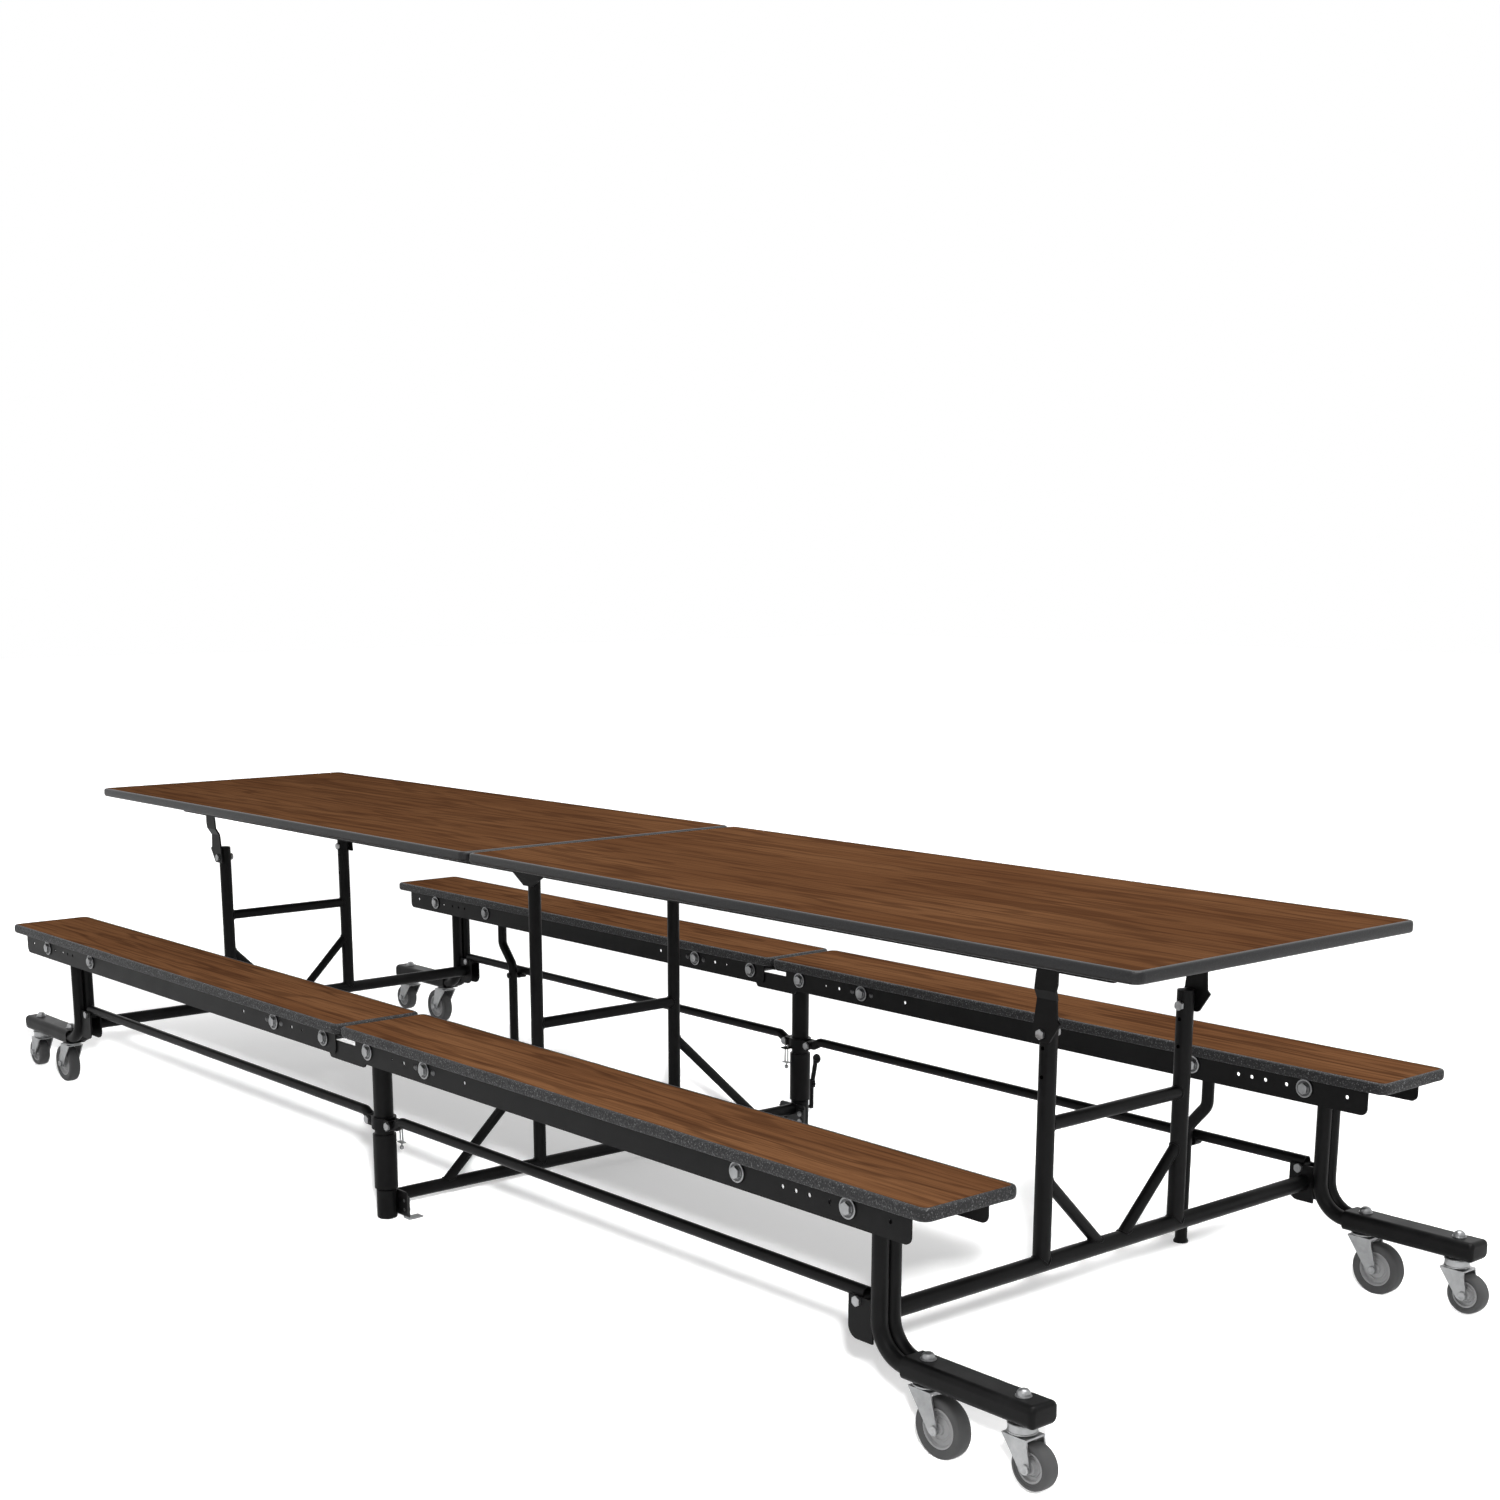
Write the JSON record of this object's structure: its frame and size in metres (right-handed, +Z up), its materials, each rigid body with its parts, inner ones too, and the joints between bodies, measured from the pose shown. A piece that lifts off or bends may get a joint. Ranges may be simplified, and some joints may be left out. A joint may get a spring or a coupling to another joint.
{
  "type": "folding bench table",
  "caption": "Long two-part table top with a split bench along each side, folding upward in the middle on a wheeled black tube frame",
  "frame": {"origin": "on the floor under the middle of the unfolded table", "axes": "+X along the table's length, +Y across it towards the bench with the support legs, +Z up"},
  "size_m": [3.806, 1.424, 0.779],
  "materials": {
    "table_top": "satin laminate",
    "bench_top": "satin laminate",
    "black_paint": "satin black powder coat",
    "black_bolts": "black oxide",
    "zinc": "zinc plated",
    "wheel": "grey non-marking rubber"
  },
  "bodies": {
    "left_end": {"end_leg_left_near": "black_paint", "end_leg_left_far": "black_paint", "end_frame_left": "black_paint", "end_frame_bolts_left": "black_bolts"},
    "left_benches": {"bench_board_left_near": "bench_top", "bench_board_left_far": "bench_top", "bench_rails_left_near": "black_paint", "bench_rails_left_far": "black_paint", "bench_bolts_left": "black_bolts"},
    "left_swing": {"swing_links_left": "black_paint"},
    "left_top": {"tabletop_left": "table_top", "tabletop_rails_left": "black_paint"},
    "left_rods": {"stabilizer_rod_left_near": "black_paint", "stabilizer_rod_left_far": "black_paint"},
    "left_support": {"support_leg_left": "black_paint"},
    "middle_legs": {"hinge_link_near": "black_paint", "hinge_link_far": "black_paint", "centre_leg_near": "black_paint", "centre_leg_far": "black_paint", "centre_leg_bolts": "black_bolts"},
    "middle_frame": {"centre_frame": "black_paint", "telescoping_legs": "black_paint", "centre_gussets": "black_paint", "centre_feet": "zinc", "centre_frame_bolts": "zinc"},
    "right_benches": {"bench_board_right_near": "bench_top", "bench_board_right_far": "bench_top", "bench_rails_right_near": "black_paint", "bench_rails_right_far": "black_paint", "bench_bolts_right": "black_bolts"},
    "right_end": {"end_leg_right_near": "black_paint", "end_leg_right_far": "black_paint", "end_frame_right": "black_paint", "end_frame_bolts_right": "black_bolts"},
    "right_swing": {"swing_links_right": "black_paint"},
    "right_top": {"tabletop_right": "table_top", "tabletop_rails_right": "black_paint"},
    "right_rods": {"stabilizer_rod_right_near": "black_paint", "stabilizer_rod_right_far": "black_paint"},
    "right_support": {"support_leg_right": "black_paint"},
    "lever": {"lock_lever": "zinc"},
    "pin_near": {"lock_pin_near": "zinc"},
    "pin_far": {"lock_pin_far": "zinc"},
    "fork_left_near_inner": {"caster_fork_left_near_inner": "zinc"},
    "wheel_left_near_inner": {"caster_wheel_left_near_inner": "wheel"},
    "fork_left_near_outer": {"caster_fork_left_near_outer": "zinc"},
    "wheel_left_near_outer": {"caster_wheel_left_near_outer": "wheel"},
    "fork_left_far_inner": {"caster_fork_left_far_inner": "zinc"},
    "wheel_left_far_inner": {"caster_wheel_left_far_inner": "wheel"},
    "fork_left_far_outer": {"caster_fork_left_far_outer": "zinc"},
    "wheel_left_far_outer": {"caster_wheel_left_far_outer": "wheel"},
    "fork_right_near_inner": {"caster_fork_right_near_inner": "zinc"},
    "wheel_right_near_inner": {"caster_wheel_right_near_inner": "wheel"},
    "fork_right_near_outer": {"caster_fork_right_near_outer": "zinc"},
    "wheel_right_near_outer": {"caster_wheel_right_near_outer": "wheel"},
    "fork_right_far_inner": {"caster_fork_right_far_inner": "zinc"},
    "wheel_right_far_inner": {"caster_wheel_right_far_inner": "wheel"},
    "fork_right_far_outer": {"caster_fork_right_far_outer": "zinc"},
    "wheel_right_far_outer": {"caster_wheel_right_far_outer": "wheel"}
  },
  "joints": [
    {"name": "fold", "type": "hinge", "parent": "left_end", "child": "left_benches", "pos_m": [-1.54, 0, 0.399], "axis": [0, -1, 0], "range_deg": [0, 90]},
    {"name": "middle_hinge_left", "type": "hinge", "parent": "left_benches", "child": "middle_legs", "pos_m": [-0.091, 0, 0.399], "axis": [0, 1, 0], "range_deg": [0, 90]},
    {"name": "middle_hinge_right", "type": "hinge", "parent": "middle_legs", "child": "right_benches", "pos_m": [0.091, 0, 0.399], "axis": [0, 1, 0], "range_deg": [0, 90]},
    {"name": "end_hinge_right", "type": "hinge", "parent": "right_benches", "child": "right_end", "pos_m": [1.54, 0, 0.399], "axis": [0, -1, 0], "range_deg": [0, 90]},
    {"name": "middle_slide", "type": "slide", "parent": "middle_legs", "child": "middle_frame", "axis": [0, 0, -1], "range_m": [0, 0.2965]},
    {"name": "swing_left", "type": "hinge", "parent": "left_end", "child": "left_swing", "pos_m": [-1.501, 0, 0.602], "axis": [0, -1, 0], "range_deg": [0, 160.26]},
    {"name": "swing_right", "type": "hinge", "parent": "right_end", "child": "right_swing", "pos_m": [1.501, 0, 0.602], "axis": [0, 1, 0], "range_deg": [0, 160.26]},
    {"name": "top_left_hinge", "type": "hinge", "parent": "left_swing", "child": "left_top", "pos_m": [-1.518, 0, 0.744], "axis": [0, 1, 0], "range_deg": [0, 70.26]},
    {"name": "top_right_hinge", "type": "hinge", "parent": "right_swing", "child": "right_top", "pos_m": [1.518, 0, 0.744], "axis": [0, -1, 0], "range_deg": [0, 70.26]},
    {"name": "rods_left", "type": "hinge", "parent": "left_end", "child": "left_rods", "pos_m": [-1.49, 0, 0.216], "axis": [0, -1, 0], "range_deg": [0, 90]},
    {"name": "rods_right", "type": "hinge", "parent": "middle_legs", "child": "right_rods", "pos_m": [0.041, 0, 0.216], "axis": [0, 1, 0], "range_deg": [0, 90]},
    {"name": "support_left_hinge", "type": "hinge", "parent": "left_benches", "child": "left_support", "pos_m": [-1.273, 0.575, 0.399], "axis": [0, 1, 0], "range_deg": [0, 90]},
    {"name": "support_right_hinge", "type": "hinge", "parent": "right_benches", "child": "right_support", "pos_m": [1.273, 0.575, 0.399], "axis": [0, -1, 0], "range_deg": [0, 90]},
    {"name": "swivel_left_near_inner", "type": "hinge", "parent": "left_end", "child": "fork_left_near_inner", "pos_m": [-1.637, -0.605, 0.11], "axis": [0, 0, 1], "continuous": true},
    {"name": "roll_left_near_inner", "type": "hinge", "parent": "fork_left_near_inner", "child": "wheel_left_near_inner", "pos_m": [-1.673, -0.605, 0.051], "axis": [0, 1, 0], "continuous": true},
    {"name": "swivel_left_near_outer", "type": "hinge", "parent": "left_end", "child": "fork_left_near_outer", "pos_m": [-1.838, -0.605, 0.11], "axis": [0, 0, 1], "continuous": true},
    {"name": "roll_left_near_outer", "type": "hinge", "parent": "fork_left_near_outer", "child": "wheel_left_near_outer", "pos_m": [-1.865, -0.605, 0.05], "axis": [0, 1, 0], "continuous": true},
    {"name": "swivel_left_far_inner", "type": "hinge", "parent": "left_end", "child": "fork_left_far_inner", "pos_m": [-1.637, 0.605, 0.11], "axis": [0, 0, 1], "continuous": true},
    {"name": "roll_left_far_inner", "type": "hinge", "parent": "fork_left_far_inner", "child": "wheel_left_far_inner", "pos_m": [-1.673, 0.605, 0.051], "axis": [0, 1, 0], "continuous": true},
    {"name": "swivel_left_far_outer", "type": "hinge", "parent": "left_end", "child": "fork_left_far_outer", "pos_m": [-1.838, 0.605, 0.11], "axis": [0, 0, 1], "continuous": true},
    {"name": "roll_left_far_outer", "type": "hinge", "parent": "fork_left_far_outer", "child": "wheel_left_far_outer", "pos_m": [-1.865, 0.605, 0.05], "axis": [0, 1, 0], "continuous": true},
    {"name": "swivel_right_near_inner", "type": "hinge", "parent": "right_end", "child": "fork_right_near_inner", "pos_m": [1.637, -0.605, 0.11], "axis": [0, 0, 1], "continuous": true},
    {"name": "roll_right_near_inner", "type": "hinge", "parent": "fork_right_near_inner", "child": "wheel_right_near_inner", "pos_m": [1.673, -0.605, 0.051], "axis": [0, 1, 0], "continuous": true},
    {"name": "swivel_right_near_outer", "type": "hinge", "parent": "right_end", "child": "fork_right_near_outer", "pos_m": [1.838, -0.605, 0.11], "axis": [0, 0, 1], "continuous": true},
    {"name": "roll_right_near_outer", "type": "hinge", "parent": "fork_right_near_outer", "child": "wheel_right_near_outer", "pos_m": [1.865, -0.605, 0.05], "axis": [0, 1, 0], "continuous": true},
    {"name": "swivel_right_far_inner", "type": "hinge", "parent": "right_end", "child": "fork_right_far_inner", "pos_m": [1.637, 0.605, 0.11], "axis": [0, 0, 1], "continuous": true},
    {"name": "roll_right_far_inner", "type": "hinge", "parent": "fork_right_far_inner", "child": "wheel_right_far_inner", "pos_m": [1.673, 0.605, 0.051], "axis": [0, 1, 0], "continuous": true},
    {"name": "swivel_right_far_outer", "type": "hinge", "parent": "right_end", "child": "fork_right_far_outer", "pos_m": [1.838, 0.605, 0.11], "axis": [0, 0, 1], "continuous": true},
    {"name": "roll_right_far_outer", "type": "hinge", "parent": "fork_right_far_outer", "child": "wheel_right_far_outer", "pos_m": [1.865, 0.605, 0.05], "axis": [0, 1, 0], "continuous": true},
    {"name": "pull_near", "type": "slide", "parent": "middle_legs", "child": "pin_near", "axis": [0, 0, -1], "range_m": [0, 0.01], "stiffness_N_per_m": 800, "springref_m": -0.01},
    {"name": "pull_far", "type": "slide", "parent": "middle_legs", "child": "pin_far", "axis": [0, 0, -1], "range_m": [0, 0.01], "stiffness_N_per_m": 800, "springref_m": -0.01},
    {"name": "lever_hinge", "type": "hinge", "parent": "middle_legs", "child": "lever", "pos_m": [0, 0.643, 0.104], "axis": [1, 0, 0], "range_deg": [0, 15]}
  ],
  "couplings": [
    {"joint": "middle_hinge_left", "follows": "fold", "ratio": 1},
    {"joint": "middle_hinge_right", "follows": "fold", "ratio": 1},
    {"joint": "end_hinge_right", "follows": "fold", "ratio": 1},
    {"joint": "middle_slide", "follows": "fold", "m_per_rad": 0.18869},
    {"joint": "swing_left", "follows": "fold", "ratio": 1.7805},
    {"joint": "swing_right", "follows": "fold", "ratio": 1.7805},
    {"joint": "top_left_hinge", "follows": "fold", "ratio": 0.78048},
    {"joint": "top_right_hinge", "follows": "fold", "ratio": 0.78048},
    {"joint": "rods_left", "follows": "fold", "ratio": 1},
    {"joint": "rods_right", "follows": "fold", "ratio": 1},
    {"joint": "support_left_hinge", "follows": "fold", "ratio": 1},
    {"joint": "support_right_hinge", "follows": "fold", "ratio": 1}
  ]
}
